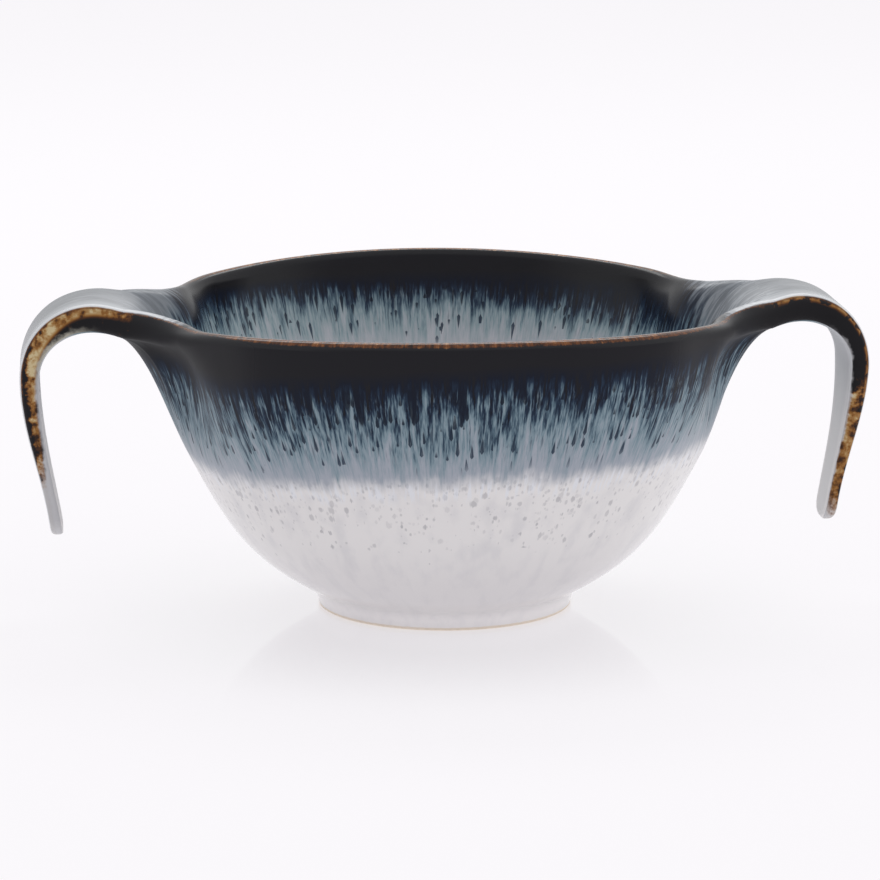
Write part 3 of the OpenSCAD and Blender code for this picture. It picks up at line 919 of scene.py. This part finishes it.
        # The left vein is palest over the arch, and burnt below it
        tone = t.add(0.5, t.swing(blot, self.sided(0.6, 0.9)), t.swing(fleck, 0.5),
                     t.mul(t.sub(vein, 1.0), 0.4), t.mul(left, 0.06), t.mul(t.step(along, *BELOW_ARCH), 0.02),
                     t.mul(left, t.step(along, *LEFT_PALEST_IN), t.step(along, *LEFT_PALEST_OUT), 0.1),
                     t.mul(left, t.step(along, *LEFT_BURNT_IN), t.step(along, *LEFT_BURNT_OUT), -0.06))
        side = t.ramp(tone, [(0.0, CHAR), (0.3, CHAR), (0.42, BROWN), (0.52, AMBER), (0.62, TAN),
                             (0.72, CREAM)])
        tail = t.add(along, t.swing(fleck, 14.0), t.swing(blot, 12.0), t.mul(ragged, 2.0),
                     t.mul(t.flip(vein), 5.0))
        side = t.mix(t.step(tail, self.sided(62.0, 48.0), self.sided(71.0, 58.0)), side, TAIL_PALE)

        # A pale band along the lower corner, cream on the left lug's arch
        lower = t.mul(t.step(along, *BAND_WIDENS), left, -0.7)
        pale = t.step(ragged, t.add(self.sided(0.6, 0.35), lower), t.add(self.sided(1.05, 0.9), lower))
        starts = t.step(along, self.sided(14.0, 5.0), self.sided(30.0, 17.0))
        side = t.mix(t.mul(pale, starts), side,
                     t.mix(t.mul(left, t.step(along, *BAND_CREAM_OUT)), BAND_PALE, BAND_CREAM))
        wave = t.swing(self.fine, 0.16)
        face = t.step(t.math("ABSOLUTE", band), t.add(1.02, wave), t.add(0.86, wave))
        return t.mix(t.mul(face, t.step(along, *SIDE_IN)), colour, side)

    def rim_line(self, colour):
        """A thin speckled line where the glaze breaks on the rim, running on along the strap's top corner."""
        t, along, trim, y = self.net, self.along, self.trim, self.y
        rough = self.grain(BREAK_GRAIN, 4.0, 0.75)
        grit = t.noise(self.pos, 3.0, 0.7, GRIT_GRAIN)
        on_strap = t.step(along, *ON_STRAP)
        width = t.add(t.mix_value(on_strap, 1.15, 0.42), t.swing(rough, 0.7), t.swing(grit, 0.4))
        # On the bowl the line lies a little outside the corner in front, and inside it at the back
        shift = t.add(trim, t.mix_value(on_strap, -0.75, 0.0), t.mul(t.step(y, *BACK_RIM), 0.9))
        line = t.mul(t.step(t.math("ABSOLUTE", shift), width, t.sub(width, 0.4)), t.step(along, *LINE_OUT),
                     t.mix_value(on_strap, 1.0, 0.75),
                     t.mix_value(t.mul(on_strap, t.step(y, *BACK_CORNER)), 1.0, 0.2))
        tone = t.add(0.45, t.swing(rough, 0.9), t.swing(grit, 0.9), t.mul(t.step(trim, 0.4, -0.6), 0.12))
        broken = t.ramp(tone, [(0.28, BREAK_DARK), (0.42, BREAK_BROWN), (0.56, BREAK_RUST), (0.7, BREAK_TAN),
                               (0.84, CREAM)])
        return t.mix(t.mul(line, self.given["Rim Line"]), colour, broken)


def glaze_group():
    """The glaze's colour and bump height, given how strongly its specks and its line on the rim show."""
    tree = bpy.data.node_groups.new("reactive_glaze", "ShaderNodeTree")
    for name, way, kind in (("Specks", "INPUT", "NodeSocketFloat"), ("Rim Line", "INPUT", "NodeSocketFloat"),
                            ("Color", "OUTPUT", "NodeSocketColor"), ("Height", "OUTPUT", "NodeSocketFloat")):
        tree.interface.new_socket(name, in_out=way, socket_type=kind)
    glaze = Glaze(tree)
    t = glaze.net
    colour = glaze.white_below(glaze.running_colour())
    colour = glaze.rim_line(glaze.side_faces(glaze.strap(colour)))
    height = t.add(t.mul(glaze.broad, 0.5), t.mul(glaze.fine, 0.2))
    t.node("NodeGroupOutput", {"Color": colour, "Height": height})
    return tree


def new_material(name):
    """An empty material, as a net."""
    m = bpy.data.materials.new(name)
    m.use_nodes = True
    m.node_tree.nodes.clear()
    return m, Net(m.node_tree)


# Roughness of the gloss, and what the strap, its root and the bare clay add to it
GLOSS = 0.1
STRAP_ADDS = 0.16
ROOT_ADDS = 0.34
CLAY_ADDS = 0.6
# Places along the strap where these begin, and how far below the edge, in millimetres
STRAP_DULLS = (-34.0, -12.0)
ROOT_DULLS = (-40.0, -14.0)
BELOW_EDGE = (0.0, 3.0)
GLAZE_IOR = 1.31
# Strength and height in metres of the uneven clay and of the glaze's own relief
SWELL = (0.25, 0.0012)
RELIEF = (0.12, 0.0003)
# Heights in metres: the bare clay's ragged upper edge, and over which the painted light on the foot fades out
# towards the bowl
CLAY_EDGE = (0.0009, 0.0006)
CLAY_RAGGED = 0.0004
FOOT_LIGHT_FADE = (0.0054, 0.002)


def glaze_material(group, name, specks, line, bare):
    """The glaze on one piece, and on the foot the bare clay that it stands on and painted light low on its
    glaze.
    """
    m, t = new_material(name)
    glaze = t.node("ShaderNodeGroup", {"Specks": specks, "Rim Line": line}, node_tree=group).outputs
    colour = glaze["Color"]
    pos = t.place()
    if bare:
        z = t.parts(pos)[2]
        grit = t.noise(pos, 4.0, 0.6, GRIT_GRAIN)
        edge = t.step(t.add(z, t.swing(grit, CLAY_RAGGED)), *CLAY_EDGE)
        colour = t.mix(edge, colour, t.mix(grit, CLAY, CLAY_GRIT))
        # Painted light: the glaze low on the foot is brightened
        colour = t.mix(t.step(z, *FOOT_LIGHT_FADE), colour, t.mix(1.0, colour, FOOT_PAINTED_LIGHT, "MULTIPLY"))
        rough = t.add(GLOSS, t.mul(edge, CLAY_ADDS))
    else:
        along = t.attr("along")
        root = t.mul(t.step(along, *ROOT_DULLS), t.step(t.attr("trim"), *BELOW_EDGE))
        rough = t.add(GLOSS, t.mul(t.step(along, *STRAP_DULLS), STRAP_ADDS), t.mul(root, ROOT_ADDS))
    swollen = t.node("ShaderNodeBump", {"Strength": SWELL[0], "Distance": SWELL[1],
                                        "Height": t.noise(pos, 2.0, 0.5, SWELL_GRAIN)})
    relief = t.node("ShaderNodeBump", {"Strength": RELIEF[0], "Distance": RELIEF[1],
                                       "Height": glaze["Height"], "Normal": swollen.outputs[0]})
    surface = t.node("ShaderNodeBsdfPrincipled", {"Base Color": colour, "Roughness": rough, "IOR": GLAZE_IOR,
                                                  "Normal": relief.outputs[0]})
    t.node("ShaderNodeOutputMaterial", {"Surface": surface.outputs[0]})
    return m


# Each piece with its node, its slot, how strongly its specks and its rim line show, and if it has bare clay
group = glaze_group()
pieces = ((build_bowl(), "bowl_body", "reactive_glaze", 0.56, 0.92, False),
          (build_foot(), "foot_ring", "pale_glaze", 0.56, 0.0, True),
          (build_lug("right_strap", 1), "right_lug", "lug_glaze", 0.0, 0.92, False),
          (build_lug("left_strap", -1), "left_lug", "lug_glaze", 0.0, 0.92, False))
for ob, node, slot, specks, line, bare in pieces:
    ob.data.materials.append(glaze_material(group, slot + "_" + node, specks, line, bare))
    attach(ob, "root")
    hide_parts(node)

# Width in metres and colours of the white floor that the bowl stands on, and its bend of light
STAGE_SIZE = 12.0
STAGE_WHITE = (0.93, 0.928, 0.935, 1)
STAGE_GLOW = (0.995, 0.972, 1.0, 1)
STAGE_IOR = 1.42
# Distances from the axis, in metres, over which the floor's glow and its mirror change, and where it dims
GLOW_LESS = (0.10, 0.045)
MIRROR_IN = (0.115, 0.05)
DIM_IN = (0.0, -0.06)
# Colours of the room's light: from the camera's side, from the left, and from elsewhere
ROOM_FRONT = (0.45, 0.43, 0.46, 1)
ROOM_LEFT = (0.46, 0.46, 0.49, 1)
ROOM_OPEN = (0.95, 0.955, 0.97, 1)
ROOM_STRENGTH = 0.93
# Directions, from -1 to 1, in which the camera's side, the ceiling and the left wall begin
FRONT_SIDE = (-0.35, -0.8)
CEILING = (0.75, 0.35)
LEFT_WALL = (-0.2, -0.9)
# Colours of the backdrop, and of the camera's side as reflections show it
BACKDROP = (0.94, 0.94, 0.945, 1)
FRONT_DIM = (0.5, 0.48, 0.51, 1)


def floor_material():
    """A floor that glows white, takes the bowl's shadow, and mirrors the bowl softly near its foot."""
    m, t = new_material("floor_white")
    pos = t.place()
    away = t.node("ShaderNodeVectorMath", [pos], operation="LENGTH").outputs["Value"]
    matt = t.node("ShaderNodeBsdfPrincipled", {"Base Color": STAGE_WHITE, "Specular IOR Level": 0.0})
    # It glows less near the bowl, so that the shadow shows
    glow = t.mix_value(t.step(away, *GLOW_LESS), 0.8, 0.62)
    surface = t.mix_shader(glow, matt.outputs[0], t.glow(STAGE_GLOW))
    mirror = t.node("ShaderNodeBsdfGlossy", {"Color": (1, 1, 1, 1), "Roughness": 0.03})
    slant = t.mul(t.node("ShaderNodeFresnel", {"IOR": STAGE_IOR}).outputs[0], 0.9)
    surface = t.mix_shader(t.mul(t.step(away, *MIRROR_IN), slant), surface, mirror.outputs[0])
    # In the glaze's reflections the floor before the bowl is as dim as the room there
    path = t.node("ShaderNodeLightPath").outputs
    mirrored = t.mul(path["Is Glossy Ray"], t.step(t.parts(pos)[1], *DIM_IN))
    surface = t.mix_shader(mirrored, surface, t.glow(FRONT_DIM))
    # From below it is clear, and shows the bowl's underside
    below = t.node("ShaderNodeNewGeometry").outputs["Backfacing"]
    surface = t.mix_shader(below, surface, t.node("ShaderNodeBsdfTransparent").outputs[0])
    t.node("ShaderNodeOutputMaterial", {"Surface": surface})
    return m


bpy.ops.object.select_all(action="DESELECT")
bpy.ops.mesh.primitive_plane_add(size=STAGE_SIZE)
floor = bpy.context.object
floor.name = "floor"
floor.data.materials.append(floor_material())

# Surroundings: white above, at the right and behind, dimmer at the left and on the camera's side
world = bpy.data.worlds.new("studio")
bpy.context.scene.world = world
world.use_nodes = True
world.node_tree.nodes.clear()
room = Net(world.node_tree)
path = room.node("ShaderNodeLightPath").outputs
wx, wy, wz = room.parts(room.node("ShaderNodeTexCoord").outputs["Generated"])
front = room.mul(room.step(wy, *FRONT_SIDE), room.step(wz, *CEILING))
walls = room.mix(room.step(wx, *LEFT_WALL), ROOM_OPEN, ROOM_LEFT)
lit = room.node("ShaderNodeBackground", {"Color": room.mix(front, walls, ROOM_FRONT),
                                         "Strength": ROOM_STRENGTH})
# The camera sees the white backdrop all round, and reflections see it dim on the camera's side
unseen = room.mul(front, room.flip(path["Is Camera Ray"]))
seen = room.node("ShaderNodeBackground", {"Color": room.mix(unseen, BACKDROP, FRONT_DIM), "Strength": 1.0})
shown = room.most(path["Is Camera Ray"], room.most(path["Is Glossy Ray"], path["Is Transmission Ray"]))
room.node("ShaderNodeOutputWorld", {"Surface": room.mix_shader(shown, lit.outputs[0], seen.outputs[0])})


def add_object(name, data, place, aim):
    """A lamp or camera at a place, turned to look at another."""
    ob = bpy.data.objects.new(name, data)
    bpy.context.scene.collection.objects.link(ob)
    ob.location = place
    ob.rotation_euler = (aim - place).to_track_quat("-Z", "Y").to_euler()
    return ob


# A wide strip lamp above the bowl and behind it
STRIP_PLACE = Vector((0.0, 0.8, 0.95))
STRIP_AIM = Vector((0, 0, 0.04))
strip = bpy.data.lights.new("strip", "AREA")
strip.shape = "RECTANGLE"
strip.size = 1.1
strip.size_y = 0.36
strip.energy = 4.0
add_object("strip", strip, STRIP_PLACE, STRIP_AIM)

# Camera fitted to the photograph's outlines: turn, elevation, distance, and the height that it turns about
YAW = math.radians(5.5)
ELEV = 0.200
DIST = 0.9379
AIM_H = 0.038
# Shifts of its aim, its focal length and the photograph's width in pixels, and its sensor's width
SIDE_SHIFT = -0.00113
UP_SHIFT = 0.00126
FOCAL_PX = 3937.0
PHOTO_PX = 880.0
SENSOR_W = 36.0
middle = Vector((0, 0, AIM_H))
place = Vector((-DIST * math.cos(ELEV) * math.sin(YAW), -DIST * math.cos(ELEV) * math.cos(YAW),
                AIM_H + DIST * math.sin(ELEV)))
toward = (middle - place).normalized()
side = toward.cross(Vector((0, 0, 1))).normalized()
aim = middle + side * SIDE_SHIFT + side.cross(toward) * UP_SHIFT
camera = bpy.data.cameras.new("camera")
camera.sensor_width = SENSOR_W
camera.lens = SENSOR_W * FOCAL_PX / PHOTO_PX
camera.clip_end = 50.0
bpy.context.scene.camera = add_object("camera", camera, place, aim)
bpy.context.scene.view_settings.view_transform = "Standard"
